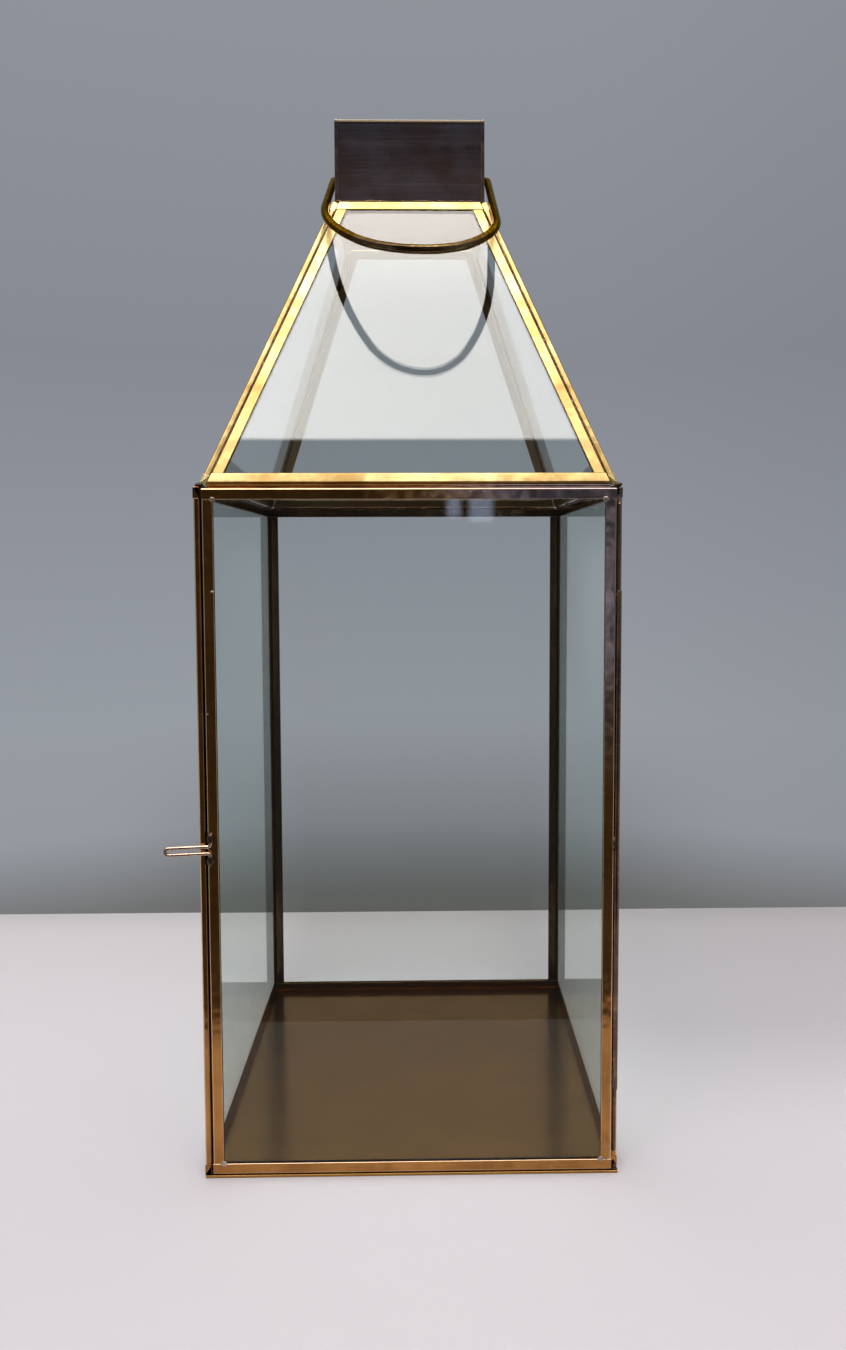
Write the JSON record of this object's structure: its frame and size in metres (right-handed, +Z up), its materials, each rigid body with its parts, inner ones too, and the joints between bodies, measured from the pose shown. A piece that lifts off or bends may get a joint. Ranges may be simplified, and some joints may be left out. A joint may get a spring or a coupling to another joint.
{
  "type": "candle lantern",
  "caption": "Square glass candle lantern framed in antique brass, with a hinged front door, a pyramid glass roof, an open chimney and a swinging wire handle.",
  "frame": {"origin": "middle of the underside of the base plate, on the table", "axes": "+Z up, -Y out through the door, +X to the right as seen from the front, towards the door's hinge"},
  "size_m": [0.1997, 0.1961, 0.4848],
  "materials": {
    "clear_glass": "clear float glass, faint green tint",
    "antique_came": "antique bronze-brown brass, semi-gloss, worn bright along the edges",
    "roof_came": "bright golden brass, semi-gloss, dark lines at the seams",
    "dark_bronze": "dark patinated sheet, fine horizontal brushing, bright top hem",
    "base_bronze": "satin brown bronze sheet",
    "bail_bronze": "dark bronze wire, glossy",
    "hinge_bronze": "dark bronze, solder marks",
    "pale_wire": "pale bare wire, polished"
  },
  "bodies": {
    "body": {"base_plate": "base_bronze", "side_left_glass": "clear_glass", "side_left_rail_bottom": "antique_came", "side_left_rail_top": "antique_came", "side_left_stile_left": "antique_came", "side_left_stile_right": "antique_came", "side_right_glass": "clear_glass", "side_right_rail_bottom": "antique_came", "side_right_rail_top": "antique_came", "side_right_stile_left": "antique_came", "side_right_stile_right": "antique_came", "back_glass": "clear_glass", "back_rail_bottom": "antique_came", "back_rail_top": "antique_came", "back_stile_left": "antique_came", "back_stile_right": "antique_came", "roof_front_glass": "clear_glass", "roof_front_rail_bottom": "roof_came", "roof_front_rail_top": "roof_came", "roof_front_stile_left": "roof_came", "roof_front_stile_right": "roof_came", "roof_right_glass": "clear_glass", "roof_right_rail_bottom": "roof_came", "roof_right_rail_top": "roof_came", "roof_right_stile_left": "roof_came", "roof_right_stile_right": "roof_came", "roof_back_glass": "clear_glass", "roof_back_rail_bottom": "roof_came", "roof_back_rail_top": "roof_came", "roof_back_stile_left": "roof_came", "roof_back_stile_right": "roof_came", "roof_left_glass": "clear_glass", "roof_left_rail_bottom": "roof_came", "roof_left_rail_top": "roof_came", "roof_left_stile_left": "roof_came", "roof_left_stile_right": "roof_came", "chimney_front": "dark_bronze", "chimney_right": "dark_bronze", "chimney_back": "dark_bronze", "chimney_left": "dark_bronze", "hinge_rod": "hinge_bronze"},
    "door": {"door_glass": "clear_glass", "door_rail_bottom": "antique_came", "door_rail_top": "antique_came", "door_stile_left": "antique_came", "door_stile_right": "antique_came", "hinge_tube": "hinge_bronze", "pull_loop": "pale_wire"},
    "handle": {"bail": "bail_bronze"}
  },
  "joints": [
    {"name": "door_hinge", "type": "hinge", "parent": "body", "child": "door", "pos_m": [0.0907, -0.091, 0], "axis": [0, 0, 1], "range_deg": [0, 180]},
    {"name": "bail_pivot", "type": "hinge", "parent": "body", "child": "handle", "pos_m": [0, 0, 0.47049], "axis": [-1, 0, 0], "range_deg": [0, 247]}
  ]
}
